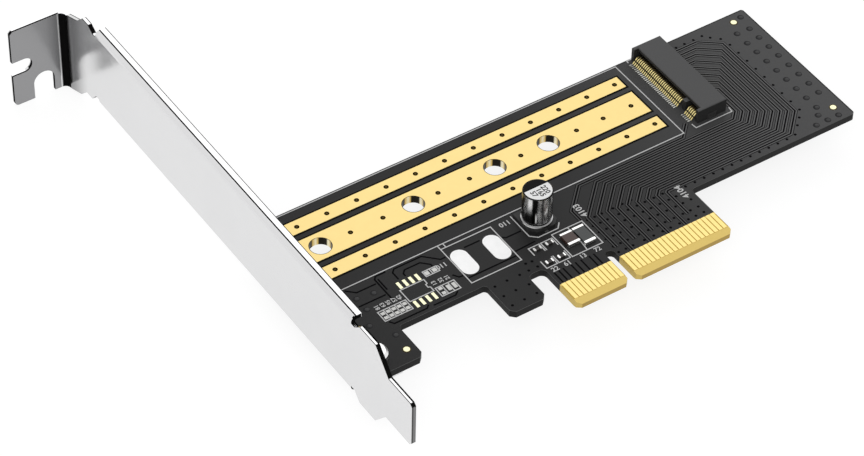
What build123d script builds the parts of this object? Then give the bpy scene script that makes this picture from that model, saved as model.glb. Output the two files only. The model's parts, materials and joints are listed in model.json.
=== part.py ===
"""Adapter card that carries a slim solid state drive in a four lane expansion slot.

A 1.6 mm board holds the drive socket, gold heat strips with plated standoff holes, a round
capacitor, chip parts and bare lands. A folded steel bracket is screwed under its left end.

Millimetres. X runs along the card away from the bracket, Y runs up from the edge contacts,
Z is the board's normal, and Z = 0 is the component side. The origin is the middle of the
key notch, at the contact end of the board.
"""

import os

from build123d import *

# Edge contacts
CONTACT_PITCH = 1.0
CONTACT_WIDTH = 0.8
CONTACT_THICKNESS = 0.05
CONTACT_TOP_Y = 5.86
CONTACTS_BEFORE_KEY = 11
CONTACTS_AFTER_KEY = 21
KEY_NOTCH_WIDTH = 1.9
KEY_NOTCH_DEPTH = 8.2
KEY_SIDE_MARGIN = 0.55
OUTER_SIDE_MARGIN = 0.65
BEVEL_LENGTH = 1.55
BEVEL_DROP = 0.3
TONGUE_CORNER = 0.8

# Board
BOARD_THICKNESS = 1.6
BOARD_RIGHT_X = 60.4
NEAR_EDGE_Y = 13.0
BOARD_CORNER = 0.6
BRACKET_GAP = 0.3
RELIEF_WIDTH = 3.65
RELIEF_TOP_Y = 10.9
RELIEF_CORNER = 1.2
MIDDLE_TAB_WIDTH = 7.5
TAB_END_Y = 4.6
TAB_CORNER = 0.9
RECESS_WIDTH = 18.7
INNER_CORNER = 0.8

# Drive: centre line, standoff holes and heat strips
DRIVE_AXIS_Y = 37.2
SEAT_X = 37.2
HOLE_DISTANCES = (80.0, 60.0, 42.0, 30.0)
STANDOFF_HOLE = 4.2
PLATING_WALL = 0.1
STRIP_THICKNESS = 0.07
STRIP_LEFT_X = -46.6
STRIP_RIGHT_X = 28.5
STRIP_WIDE = 6.3
STRIP_NARROW = 3.15
STRIP_SPACING = 6.45
STRIP_VIA = 0.8
STRIP_VIA_PITCH = 6.43
STRIP_VIA_COUNT = 12
STRIP_VIA_FIRST = 2.8
VIA_SIDES = 8
CENTRE_VIAS_X = (-36.4, -29.4, -17.4, -10.45, 1.0, 13.6, 19.7, 26.1)

# Drive socket
SOCKET_WIDTH = 21.2
SOCKET_HEIGHT = 3.05
SOCKET_LID_FRONT_X = 34.75
SOCKET_WALL_FRONT_X = 33.8
SOCKET_BACK_X = 40.35
SOCKET_LID = 0.75
SOCKET_FLOOR = 0.75
SOCKET_END_WALL = 0.75
SOCKET_BACK_WALL = 1.6
SOCKET_EDGE = 0.15
SOCKET_TO_BOARD_EDGE = 0.25
KEY_OFFSET = 6.125
KEY_RIB = 1.0
KEY_TO_PIN = 0.5
PIN_PITCH = 0.5
PIN_TO_WALL = 0.6
PIN_WIDTH = 0.22
PIN_THICKNESS = 0.15
PIN_TAIL = 0.75
PIN_TAIL_X = 32.45
PIN_SLOPE_RUN = 1.0
PIN_CREST_Z = 1.3
PIN_CREST_DROP = 0.2
PIN_CREST_INSIDE = 0.2
UPPER_PIN_INSIDE = 0.45
PEG_DIAMETERS = (1.6, 1.1)
PEG_FROM_END = 2.0
PEG_LENGTH = 1.4
PEG_CLEARANCE = 0.1
NAIL_THICKNESS = 0.2
NAIL_HEIGHT = 1.2
NAIL_FOOT = 0.22
NAIL_LEFT_X = 36.1
NAIL_WIDTH = 2.0
ROUNDING_SLACK = 0.001

# Round capacitor
CAP_X = -6.4
CAP_Y = 21.5
CAP_DIAMETER = 5.7
CAP_TOTAL_HEIGHT = 7.9
CAP_BASE_SIDE = 6.2
CAP_BASE_HEIGHT = 0.8
CAP_BASE_CORNER = 1.1
CAP_RIM = 0.2
CAP_GROOVE_DEPTH = 0.2
CAP_GROOVE_HEIGHT = 0.7
CAP_CURL = 0.1
CAP_CURL_HEIGHT = 0.35
CAP_LEAD_WIDTH = 0.7
CAP_LEAD_THICKNESS = 0.15
CAP_LEAD_LENGTH = 1.6
CAP_LEAD_OUT = 0.35

# Chip parts: centre, size along the terminals, width, height, terminal length
FUSE_CENTRE = (-1.5, 13.6)
FUSE_SIZE = (4.5, 2.35, 0.8)
FUSE_TERMINAL = 0.55
BULK_CENTRE = (-4.2, 14.15)
BULK_SIZE = (3.2, 2.5, 0.8)
BULK_TERMINAL = 0.5
SMALL_CENTRES = ((-10.5, 15.3), (-7.8, 15.35), (-10.5, 11.45), (-7.85, 11.45))
SMALL_SIZE = (1.6, 0.8, 0.45)
SMALL_TERMINAL = 0.35
CHIP_EDGE = 0.08
TERMINAL_WRAP = 0.04

# Raised copper traces in pairs, from the socket round its far side to the edge contacts
TRACE_PAIRS = 9
TRACE_WIDTH = 0.25
TRACE_THICKNESS = 0.05
TRACE_FROM_CENTRE = 0.275
TRACE_FROM_TAILS = 0.35
TRACE_LEAST_RUN = 0.5
TRACE_FIRST_Y = 45.1
TRACE_START_PITCH = 1.4
TRACE_FALL = (3.95, 3.05)
TRACE_REACH = 10.0
TRACE_RIGHT_PITCH = 1.19
TRACE_TURN_Y = 19.5
TRACE_TURN_PITCH = 0.75
TRACE_LOW_Y = 14.95
TRACE_LOW_PITCH = 1.12
TRACE_LEFT_X = 18.3
TRACE_LEFT_PITCH = 1.2
TRACE_FIRST_CONTACT = 16
TRACE_SHORT_Y = 8.1
SPARE_TRACE_PAIR = ((31.9, 27.75), (29.1, 24.95), (5.4, 24.95), (0.5, 20.05), (0.5, 17.2))

# Bare lands on the component side
LAND_THICKNESS = 0.05
CONTROLLER_X = -34.4
CONTROLLER_Y = 18.4
CONTROLLER_PITCH = 1.3
CONTROLLER_ROW = 5.5
CONTROLLER_PADS = 4
CONTROLLER_PAD = (0.6, 1.7)
INDUCTOR_X = -19.75
INDUCTOR_Y = 19.8
INDUCTOR_SPREAD = 7.0
INDUCTOR_PAD = (3.4, 6.7)
FIDUCIALS = ((56.7, 45.8), (57.9, 16.4), (-43.85, 7.4))
FIDUCIAL_DIAMETER = 1.2
FIDUCIAL_SIDES = 20
ARRAY_CORNER = (-42.65, 16.9)
ARRAY_PITCH = (1.15, 1.15)
ARRAY_COUNT = (5, 2)
ARRAY_PAD = (0.75, 0.7)
PAIR_PADS = (
    (-30.5, 21.1, -28.9, 21.1, 0.9, 0.9),
    (-30.65, 16.6, -30.65, 15.35, 0.75, 0.7),
    (-29.2, 16.0, -28.0, 16.0, 0.7, 1.4),
)

# Bracket
SHEET = 0.86
BRACKET_X = -55.5
BRACKET_WIDTH = 18.42
BRACKET_BELOW = 2.34
BRACKET_LENGTH = 120.02
TONGUE_END_Y = -11.75
TONGUE_WIDTH = 10.19
TONGUE_LOW_Z = -0.5
SHOULDER_Y = -0.4
SHOULDER_SLOPE = 0.85
LOWER_EDGE_OUT = 0.45
UPPER_EDGE_IN = 0.35
BEND_RADIUS = 1.25
FLANGE_DEPTH = 2.3
FLANGE_RADIUS = 0.3
FLANGE_START_Y = 7.3
FLANGE_END_Y = 95.0
FLANGE_RELIEF = 2.7
FLANGE_RELIEF_DEPTH = 1.4
FLANGE_RELIEF_SLANT = 1.6
TONGUE_END_CORNER = 0.6
SHOULDER_ROUND = 0.5
TAB_DEPTH = 11.43
TAB_WIDTH = 18.42
TAB_OFFSET = 4.2
TAB_STEP_Y = 99.8
TAB_STEP_RUN = 2.3
TAB_STEP = 2.2
TAB_ROUND = 0.9
TAB_CHAMFER = 0.6
SCREW_SLOT_WIDTH = 4.42
SCREW_SLOT_FROM_PLATE = 4.93
SCREW_SLOT_DEPTH = 5.7
END_SLOT_WIDTH = 3.33
END_SLOT_DEPTH = 4.24
END_SLOT_FROM_SIDE = 9.1

# Bracket lugs and screws
LUG_WIDTH = 8.0
LUG_RADIUS = 0.3
LUG_FLAT = 0.6
LUG_STEP_RUN = 1.6
SCREW_X = -49.6
SCREWS_Y = (9.0, 43.6)
SCREW_SHANK = 2.5
SCREW_HOLE = 2.9
SCREW_HEAD = 5.0
SCREW_HEAD_HEIGHT = 1.6
SCREW_HEAD_SLOPE = 0.5
SCREW_LENGTH = 3.6
LUG_END_MARGIN = 3.4
RECESS_SIZE = 2.6
RECESS_ARM = 0.7
RECESS_DEPTH = 0.9

# Sizes that follow from the ones above
HALF_KEY = KEY_NOTCH_WIDTH / 2
FIRST_PIN_LEFT = -(HALF_KEY + KEY_SIDE_MARGIN + (CONTACTS_BEFORE_KEY - 1) * CONTACT_PITCH)
FIRST_PIN_RIGHT = HALF_KEY + KEY_SIDE_MARGIN
TONGUE_LEFT_X = FIRST_PIN_LEFT - OUTER_SIDE_MARGIN
TONGUE_RIGHT_X = FIRST_PIN_RIGHT + (CONTACTS_AFTER_KEY - 1) * CONTACT_PITCH + OUTER_SIDE_MARGIN
MIDDLE_TAB_RIGHT_X = TONGUE_LEFT_X - RELIEF_WIDTH
MIDDLE_TAB_LEFT_X = MIDDLE_TAB_RIGHT_X - MIDDLE_TAB_WIDTH
LEFT_TAB_RIGHT_X = MIDDLE_TAB_LEFT_X - RECESS_WIDTH
PLATE_INNER_X = BRACKET_X + SHEET
BOARD_LEFT_X = PLATE_INNER_X + BRACKET_GAP
BOARD_LOW_Z = -BOARD_THICKNESS
PLATE_LOW_Z = BOARD_LOW_Z - BRACKET_BELOW
PLATE_HIGH_Z = PLATE_LOW_Z + BRACKET_WIDTH
TAB_OUTER_Y = TONGUE_END_Y + BRACKET_LENGTH
TAB_UNDER_Y = TAB_OUTER_Y - SHEET
TONGUE_HIGH_Z = TONGUE_LOW_Z + TONGUE_WIDTH
HOLES_X = tuple(SEAT_X - distance for distance in HOLE_DISTANCES)
BARREL = STANDOFF_HOLE + 2 * PLATING_WALL
BOARD_TOP_Y = DRIVE_AXIS_Y + SOCKET_WIDTH / 2 + SOCKET_TO_BOARD_EDGE
PIN_ROOM = SOCKET_WIDTH / 2 - SOCKET_END_WALL - PIN_TO_WALL
KEY_Y = DRIVE_AXIS_Y - KEY_OFFSET
LID_LOW_Z = SOCKET_HEIGHT - SOCKET_LID
BACK_WALL_X = SOCKET_BACK_X - SOCKET_BACK_WALL
NAIL_RIGHT_X = NAIL_LEFT_X + NAIL_WIDTH
TAILS_X = SOCKET_BACK_X + PIN_THICKNESS + PIN_TAIL
TAB_LOW_Z = PLATE_LOW_Z - TAB_OFFSET
TAB_HIGH_Z = TAB_LOW_Z + TAB_WIDTH
BEND_Y = TAB_UNDER_Y - BEND_RADIUS
TAB_END_X = BRACKET_X - TAB_DEPTH
SCREW_SLOT_X = BRACKET_X - SCREW_SLOT_FROM_PLATE
SCREW_SLOT_ROUND_Z = TAB_LOW_Z + SCREW_SLOT_DEPTH - SCREW_SLOT_WIDTH / 2
END_SLOT_ROUND_X = TAB_END_X + END_SLOT_DEPTH - END_SLOT_WIDTH / 2
END_SLOT_Z = TAB_LOW_Z + END_SLOT_FROM_SIDE
LUG_END_X = SCREW_X + LUG_END_MARGIN


def slab(left, right, low_y, high_y, low_z, high_z):
    """A box given by its faces."""
    size = (right - left, high_y - low_y, high_z - low_z)
    centre = ((left + right) / 2, (low_y + high_y) / 2, (low_z + high_z) / 2)
    return Pos(*centre) * Box(*size)


def pin(x, y, low_z, high_z, diameter):
    """An upright cylinder."""
    return Pos(x, y, (low_z + high_z) / 2) * Cylinder(diameter / 2, high_z - low_z)


def via(x, y, low_z, high_z, diameter):
    """A small hole as an upright prism with few sides."""
    return Pos(x, y, low_z) * extrude(RegularPolygon(diameter / 2, VIA_SIDES), amount=high_z - low_z)


def save(name, *shapes):
    """Write one node's solids to its STEP file."""
    solids = [solid for shape in shapes for solid in shape.solids()]
    export_step(Compound(label=name, children=solids), os.path.join("parts", name + ".step"))


def contact_centres():
    """X of each edge contact, on both sides of the key notch."""
    before = [FIRST_PIN_LEFT + i * CONTACT_PITCH for i in range(CONTACTS_BEFORE_KEY)]
    after = [FIRST_PIN_RIGHT + i * CONTACT_PITCH for i in range(CONTACTS_AFTER_KEY)]
    return before + after


def rectangle(left, right, low_y, high_y):
    """A flat rectangle in the XY plane given by its sides."""
    centre = ((left + right) / 2, (low_y + high_y) / 2)
    return Pos(*centre) * Rectangle(right - left, high_y - low_y)


def corner(sketch, x, y):
    """The vertex of a flat sketch nearest to a point."""
    return sketch.vertices().sort_by_distance((x, y, 0))[0]


def board_outline():
    """The board seen from above: body, edge connector, middle tab and left tab."""
    body = rectangle(BOARD_LEFT_X, BOARD_RIGHT_X, NEAR_EDGE_Y, BOARD_TOP_Y)
    bridge = rectangle(MIDDLE_TAB_LEFT_X, TONGUE_RIGHT_X, RELIEF_TOP_Y, NEAR_EDGE_Y)
    tongue = rectangle(TONGUE_LEFT_X, TONGUE_RIGHT_X, 0, NEAR_EDGE_Y)
    middle = rectangle(MIDDLE_TAB_LEFT_X, MIDDLE_TAB_RIGHT_X, TAB_END_Y, NEAR_EDGE_Y)
    left = rectangle(BOARD_LEFT_X, LEFT_TAB_RIGHT_X, TAB_END_Y, NEAR_EDGE_Y)
    notch_end = KEY_NOTCH_DEPTH - HALF_KEY
    notch = rectangle(-HALF_KEY, HALF_KEY, 0, notch_end) + Pos(0, notch_end) * Circle(HALF_KEY)
    outline = body + bridge + tongue + middle + left - notch

    tongue_ends = (TONGUE_LEFT_X, -HALF_KEY, HALF_KEY, TONGUE_RIGHT_X)
    for x in tongue_ends:
        outline = chamfer(corner(outline, x, 0), TONGUE_CORNER)
    tab_ends = (MIDDLE_TAB_RIGHT_X, MIDDLE_TAB_LEFT_X, LEFT_TAB_RIGHT_X)
    for x in tab_ends:
        outline = chamfer(corner(outline, x, TAB_END_Y), TAB_CORNER)
    for x in (MIDDLE_TAB_RIGHT_X, TONGUE_LEFT_X):
        outline = fillet(corner(outline, x, RELIEF_TOP_Y), RELIEF_CORNER)
    for x in (MIDDLE_TAB_LEFT_X, LEFT_TAB_RIGHT_X, TONGUE_RIGHT_X):
        outline = fillet(corner(outline, x, NEAR_EDGE_Y), INNER_CORNER)
    for y in (NEAR_EDGE_Y, BOARD_TOP_Y):
        outline = fillet(corner(outline, BOARD_RIGHT_X, y), BOARD_CORNER)
    return outline


def bevel_cutters():
    """Two wedges that thin the contact end of the board, one on each side."""
    middle = BOARD_LOW_Z / 2
    side = Plane.YZ * Pos(0, 0) * make_face(
        Polyline((0, 0), (BEVEL_LENGTH, 0), (0, -BEVEL_DROP), close=True)
    )
    upper = extrude(side, amount=TONGUE_RIGHT_X - TONGUE_LEFT_X)
    upper = Pos(TONGUE_LEFT_X, 0, 0) * upper
    lower = upper.mirror(Plane.XY.offset(middle))
    return [upper, lower]


def make_board():
    board = Pos(0, 0, BOARD_LOW_Z) * extrude(board_outline(), amount=BOARD_THICKNESS)
    for cutter in bevel_cutters():
        board -= cutter
    for x in HOLES_X:
        board -= pin(x, DRIVE_AXIS_Y, BOARD_LOW_Z, 0, BARREL)
    for y in SCREWS_Y:
        board -= pin(SCREW_X, y, BOARD_LOW_Z, 0, SCREW_HOLE)
    for x, y, diameter in peg_places():
        board -= pin(x, y, BOARD_LOW_Z, 0, diameter + 2 * PEG_CLEARANCE)
    return board


def peg_places():
    """The two round pegs that locate the socket, a thick one and a thin one."""
    x = (SOCKET_LID_FRONT_X + SOCKET_BACK_X) / 2
    return [
        (x, DRIVE_AXIS_Y + SOCKET_WIDTH / 2 - PEG_FROM_END, PEG_DIAMETERS[0]),
        (x, DRIVE_AXIS_Y - SOCKET_WIDTH / 2 + PEG_FROM_END, PEG_DIAMETERS[1]),
    ]


def make_edge_contacts(low_z, high_z):
    """One row of gold contacts, from the bevel to the edge of the board's lacquer."""
    return [
        slab(x - CONTACT_WIDTH / 2, x + CONTACT_WIDTH / 2, BEVEL_LENGTH, CONTACT_TOP_Y, low_z, high_z)
        for x in contact_centres()
    ]


def make_strip(centre_y, width, vias_x, holes_x=()):
    """A bare gold strip under the drive, with its small vias and its standoff holes."""
    strip = slab(STRIP_LEFT_X, STRIP_RIGHT_X, centre_y - width / 2, centre_y + width / 2, 0, STRIP_THICKNESS)
    for x in vias_x:
        strip -= via(x, centre_y, 0, STRIP_THICKNESS, STRIP_VIA)
    for x in holes_x:
        strip -= pin(x, centre_y, 0, STRIP_THICKNESS, BARREL)
    return strip


def make_barrels():
    """Plated walls of the standoff holes, flush with the strip and with the far side."""
    barrels = []
    for x in HOLES_X:
        wall = pin(x, DRIVE_AXIS_Y, BOARD_LOW_Z, STRIP_THICKNESS, BARREL)
        wall -= pin(x, DRIVE_AXIS_Y, BOARD_LOW_Z, STRIP_THICKNESS, STANDOFF_HOLE)
        barrels.append(wall)
    return barrels


def socket_ends():
    """Y of the socket's two outer end faces, and the way each one faces."""
    return [(DRIVE_AXIS_Y - SOCKET_WIDTH / 2, -1), (DRIVE_AXIS_Y + SOCKET_WIDTH / 2, 1)]


def facing(edge_y, way, depth_in, depth_out, left, right, low_z, high_z):
    """A box at an end face of the socket, from inside the face to outside it."""
    ends = sorted((edge_y - way * depth_in, edge_y + way * depth_out))
    return slab(left, right, ends[0], ends[1], low_z, high_z)


def make_socket():
    """Moulded socket: floor, lid, end walls, back wall, key rib, pegs and contact slots."""
    low_y, high_y = DRIVE_AXIS_Y - SOCKET_WIDTH / 2, DRIVE_AXIS_Y + SOCKET_WIDTH / 2
    socket = slab(SOCKET_LID_FRONT_X, SOCKET_BACK_X, low_y, high_y, LID_LOW_Z, SOCKET_HEIGHT)
    socket += slab(SOCKET_LID_FRONT_X, SOCKET_BACK_X, low_y, high_y, 0, SOCKET_FLOOR)
    socket += slab(BACK_WALL_X, SOCKET_BACK_X, low_y, high_y, 0, SOCKET_HEIGHT)
    for edge_y, way in socket_ends():
        socket += facing(
            edge_y, way, SOCKET_END_WALL, 0, SOCKET_WALL_FRONT_X, SOCKET_BACK_X, 0, SOCKET_HEIGHT
        )
    socket += slab(
        SOCKET_WALL_FRONT_X, SOCKET_BACK_X, KEY_Y - KEY_RIB / 2, KEY_Y + KEY_RIB / 2, 0, LID_LOW_Z
    )
    top_edges = socket.faces().sort_by(Axis.Z)[-1].outer_wire().edges()
    socket = chamfer(top_edges, SOCKET_EDGE)
    for y in contact_rows()[1]:
        socket -= leaf(y, BACK_WALL_X, SOCKET_BACK_X, LID_LOW_Z - PIN_THICKNESS, LID_LOW_Z)
    for edge_y, way in socket_ends():
        socket -= facing(edge_y, way, NAIL_THICKNESS, 0, NAIL_LEFT_X, NAIL_RIGHT_X, 0, NAIL_HEIGHT)
    for x, y, diameter in peg_places():
        socket += pin(x, y, -PEG_LENGTH, SOCKET_FLOOR, diameter)
    return socket


def contact_rows():
    """Y of the socket's lower and upper contacts, half a pitch apart, with none at the key."""
    count = int(2 * PIN_ROOM / PIN_PITCH + ROUNDING_SLACK) + 1
    lower = [DRIVE_AXIS_Y + PIN_PITCH * ((count - 1) / 2 - i) for i in range(count)]
    upper = [y - PIN_PITCH / 2 for y in lower[:-1]]
    clear = KEY_RIB / 2 + KEY_TO_PIN
    return [[y for y in row if abs(y - KEY_Y) > clear] for row in (lower, upper)]


def leaf(y, left, right, low_z, high_z):
    """A straight run of one socket contact."""
    return slab(left, right, y - PIN_WIDTH / 2, y + PIN_WIDTH / 2, low_z, high_z)


def make_lower_contacts():
    """Sprung leaves: a tail on the board, a slope, a crest under the mouth, a run to the back."""
    crest_x = SOCKET_LID_FRONT_X + PIN_CREST_INSIDE
    path = [
        (PIN_TAIL_X, 0),
        (PIN_TAIL_X + PIN_TAIL, 0),
        (PIN_TAIL_X + PIN_TAIL + PIN_SLOPE_RUN, PIN_CREST_Z - PIN_CREST_DROP),
        (crest_x, PIN_CREST_Z),
        (crest_x + PIN_SLOPE_RUN, PIN_CREST_Z - PIN_CREST_DROP),
        (BACK_WALL_X, SOCKET_FLOOR),
    ]
    top = [(x, z + PIN_THICKNESS) for x, z in reversed(path)]
    side = make_face(Polyline(*path, *top, close=True))
    blade = extrude(Plane.XZ * side, amount=PIN_WIDTH / 2, both=True)
    return [Pos(0, y, 0) * blade for y in contact_rows()[0]]


def make_upper_contacts():
    """Leaves under the lid that run out through the back wall, down it and onto the board."""
    contacts = []
    for y in contact_rows()[1]:
        low_z = LID_LOW_Z - PIN_THICKNESS
        outside = SOCKET_BACK_X + PIN_THICKNESS
        run = leaf(y, SOCKET_LID_FRONT_X + UPPER_PIN_INSIDE, outside, low_z, LID_LOW_Z)
        run += leaf(y, SOCKET_BACK_X, outside, 0, LID_LOW_Z)
        run += leaf(y, SOCKET_BACK_X, TAILS_X, 0, PIN_THICKNESS)
        contacts.append(run)
    return contacts


def make_nails():
    """The solder nails let into the socket's end walls, each with a foot on the board."""
    nails = []
    for edge_y, way in socket_ends():
        nail = facing(edge_y, way, NAIL_THICKNESS, 0, NAIL_LEFT_X, NAIL_RIGHT_X, 0, NAIL_HEIGHT)
        foot = facing(edge_y, way, 0, NAIL_FOOT, NAIL_LEFT_X, NAIL_RIGHT_X, 0, NAIL_THICKNESS)
        nails.append(nail + foot)
    return nails


def beside(path, distance):
    """A bent line moved to its left by a distance, with its corners kept sharp."""
    points = [Vector(*point) for point in path]
    across = [(b - a).normalized().rotate(Axis.Z, 90) for a, b in zip(points, points[1:])]
    across = [across[0], *across, across[-1]]
    moved = []
    for point, before, after in zip(points, across, across[1:]):
        middle = (before + after).normalized()
        moved.append(point + middle * (distance / middle.dot(after)))
    return moved


def trace_pair(path):
    """Two flat lines of copper that run side by side along a path."""
    lines = []
    for centre in (-TRACE_FROM_CENTRE, TRACE_FROM_CENTRE):
        left = beside(path, centre + TRACE_WIDTH / 2)
        right = beside(path, centre - TRACE_WIDTH / 2)
        flat = make_face(Polyline(*left, *reversed(right), close=True))
        lines.append(extrude(flat, amount=TRACE_THICKNESS))
    return lines


def trace_path(number):
    """Centre line of one trace pair, counted from the outside of the bundle."""
    run, fall = TRACE_FALL
    start_x = TAILS_X + TRACE_FROM_TAILS
    start_y = TRACE_FIRST_Y - number * TRACE_START_PITCH
    right_x = TAILS_X + TRACE_REACH - number * TRACE_RIGHT_PITCH
    turn_y = TRACE_TURN_Y + number * TRACE_TURN_PITCH
    low_y = TRACE_LOW_Y + number * TRACE_LOW_PITCH
    left_x = TRACE_LEFT_X - number * TRACE_LEFT_PITCH
    end_x = FIRST_PIN_RIGHT + CONTACT_PITCH / 2 + (TRACE_FIRST_CONTACT - 2 * number) * CONTACT_PITCH
    end_y = CONTACT_TOP_Y if number % 2 else TRACE_SHORT_Y
    bend_x = right_x - run
    start = []
    if bend_x > start_x + TRACE_LEAST_RUN:
        start = [(start_x, start_y), (bend_x, start_y)]
    elif right_x > start_x + TRACE_LEAST_RUN:
        start = [(start_x, start_y - (start_x - bend_x) * fall / run)]
    return start + [
        (right_x, start_y - fall),
        (right_x, turn_y),
        (right_x - (turn_y - low_y), low_y),
        (left_x, low_y),
        (end_x, low_y - (left_x - end_x)),
        (end_x, end_y),
    ]


def make_traces():
    paths = [trace_path(number) for number in range(TRACE_PAIRS)]
    return [line for path in [*paths, SPARE_TRACE_PAIR] for line in trace_pair(path)]


def capacitor_leads():
    """Two flat leads under the capacitor's base, bent out at its -Y and +Y sides."""
    reach = CAP_BASE_SIDE / 2 + CAP_LEAD_OUT
    half = CAP_LEAD_WIDTH / 2
    leads = []
    for way in (-1, 1):
        ends = sorted((CAP_Y + way * (reach - CAP_LEAD_LENGTH), CAP_Y + way * reach))
        leads.append(slab(CAP_X - half, CAP_X + half, ends[0], ends[1], 0, CAP_LEAD_THICKNESS))
    return leads


def make_capacitor_base():
    """The moulded foot, with two corners cut off on the marked side."""
    foot = Rectangle(CAP_BASE_SIDE, CAP_BASE_SIDE)
    foot = chamfer(foot.vertices().group_by(Axis.Y)[0], CAP_BASE_CORNER)
    foot = Pos(CAP_X, CAP_Y) * extrude(foot, amount=CAP_BASE_HEIGHT)
    for lead in capacitor_leads():
        foot -= lead
    return foot


def make_capacitor_can():
    """The drawn can, turned from its half section: curl, groove, wall and rounded rim."""
    radius = CAP_DIAMETER / 2
    curl = radius + CAP_CURL
    curl_z = CAP_BASE_HEIGHT + CAP_CURL_HEIGHT
    groove_z = curl_z + CAP_GROOVE_HEIGHT
    half_section = [
        (0, CAP_BASE_HEIGHT),
        (curl, CAP_BASE_HEIGHT),
        (curl, curl_z),
        (radius - CAP_GROOVE_DEPTH, curl_z),
        (radius - CAP_GROOVE_DEPTH, (curl_z + groove_z) / 2),
        (radius, groove_z),
        (radius, CAP_TOTAL_HEIGHT),
        (0, CAP_TOTAL_HEIGHT),
    ]
    section = make_face(Polyline(*half_section, close=True))
    can = revolve(Plane.XZ * section, axis=Axis.Z)
    can = fillet(can.faces().sort_by(Axis.Z)[-1].edges(), CAP_RIM)
    return Pos(CAP_X, CAP_Y, 0) * can


def chip_part(centre, size, terminal, turn=0):
    """A ceramic body between two wrapped metal terminals, as a body and a pair."""
    length, width, height = size
    inner = length / 2 - terminal
    body = slab(
        -inner, inner, -width / 2 + TERMINAL_WRAP, width / 2 - TERMINAL_WRAP,
        TERMINAL_WRAP, height - TERMINAL_WRAP
    )
    right = slab(inner, length / 2, -width / 2, width / 2, 0, height)
    right = chamfer(right.faces().sort_by(Axis.X)[-1].edges(), CHIP_EDGE)
    place = Pos(centre[0], centre[1], 0) * Rot(0, 0, turn)
    return place * body, [place * right, place * right.mirror(Plane.YZ)]


def pad(x, y, width, depth):
    """A flat rectangular land on the component side."""
    return slab(x - width / 2, x + width / 2, y - depth / 2, y + depth / 2, 0, LAND_THICKNESS)


def make_controller_pads():
    """Two rows of bare lands for a small controller chip."""
    first_x = CONTROLLER_X - CONTROLLER_PITCH * (CONTROLLER_PADS - 1) / 2
    return [
        pad(first_x + i * CONTROLLER_PITCH, CONTROLLER_Y + side * CONTROLLER_ROW / 2, *CONTROLLER_PAD)
        for side in (-1, 1)
        for i in range(CONTROLLER_PADS)
    ]


def make_inductor_pads():
    """Two tall lands with round ends."""
    width, height = INDUCTOR_PAD
    land = extrude(SlotOverall(height, width, rotation=90), amount=LAND_THICKNESS)
    return [
        Pos(INDUCTOR_X + side * INDUCTOR_SPREAD / 2, INDUCTOR_Y, 0) * land for side in (-1, 1)
    ]


def make_spare_pads():
    """The array and the pairs of small lands that carry no chip."""
    columns, rows = ARRAY_COUNT
    pads = [
        pad(ARRAY_CORNER[0] + i * ARRAY_PITCH[0], ARRAY_CORNER[1] - j * ARRAY_PITCH[1], *ARRAY_PAD)
        for i in range(columns)
        for j in range(rows)
    ]
    for first_x, first_y, last_x, last_y, width, depth in PAIR_PADS:
        pads.append(pad(first_x, first_y, width, depth))
        pads.append(pad(last_x, last_y, width, depth))
    return pads


def make_fiducials():
    """Small round lands that a placing machine looks for."""
    disc = extrude(RegularPolygon(FIDUCIAL_DIAMETER / 2, FIDUCIAL_SIDES), amount=LAND_THICKNESS)
    return [Pos(x, y, 0) * disc for x, y in FIDUCIALS]


def flat_outline():
    """The flat plate in Y and Z: tongue, shoulders, reliefs and the skewed neck under the tab."""
    low, high = PLATE_LOW_Z, PLATE_HIGH_Z
    shoulder_low = low - LOWER_EDGE_OUT
    neck_high = high - UPPER_EDGE_IN
    relief_low = FLANGE_START_Y - FLANGE_RELIEF
    relief_high = FLANGE_END_Y + FLANGE_RELIEF
    neck_y = TAB_STEP_Y + TAB_STEP_RUN
    lower_side = [
        (TONGUE_END_Y, TONGUE_LOW_Z),
        (SHOULDER_Y - (TONGUE_LOW_Z - shoulder_low) * SHOULDER_SLOPE, TONGUE_LOW_Z),
        (SHOULDER_Y, shoulder_low),
        (relief_low, shoulder_low),
        (relief_low + FLANGE_RELIEF_SLANT, low + FLANGE_RELIEF_DEPTH),
        (relief_high - FLANGE_RELIEF_SLANT, low + FLANGE_RELIEF_DEPTH),
        (relief_high, shoulder_low),
        (TAB_STEP_Y, shoulder_low),
        (neck_y, shoulder_low - TAB_STEP),
        (BEND_Y, TAB_LOW_Z),
    ]
    upper_side = [
        (BEND_Y, TAB_HIGH_Z),
        (neck_y, neck_high - TAB_STEP),
        (TAB_STEP_Y, neck_high),
        (relief_high, neck_high),
        (relief_high - FLANGE_RELIEF_SLANT, high - FLANGE_RELIEF_DEPTH),
        (relief_low + FLANGE_RELIEF_SLANT, high - FLANGE_RELIEF_DEPTH),
        (relief_low, high),
        (SHOULDER_Y, high),
        (SHOULDER_Y - (high - TONGUE_HIGH_Z) * SHOULDER_SLOPE, TONGUE_HIGH_Z),
        (TONGUE_END_Y, TONGUE_HIGH_Z),
    ]
    outline = make_face(Polyline(*lower_side, *upper_side, close=True))
    for z in (TONGUE_LOW_Z, TONGUE_HIGH_Z):
        outline = chamfer(corner(outline, TONGUE_END_Y, z), TONGUE_END_CORNER)
    rounded = [
        (SHOULDER_Y, shoulder_low), (SHOULDER_Y, high), (TAB_STEP_Y, shoulder_low), (TAB_STEP_Y, neck_high),
        (neck_y, shoulder_low - TAB_STEP), (neck_y, neck_high - TAB_STEP),
    ]
    for y, z in rounded:
        outline = fillet(corner(outline, y, z), SHOULDER_ROUND)
    return outline


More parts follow.
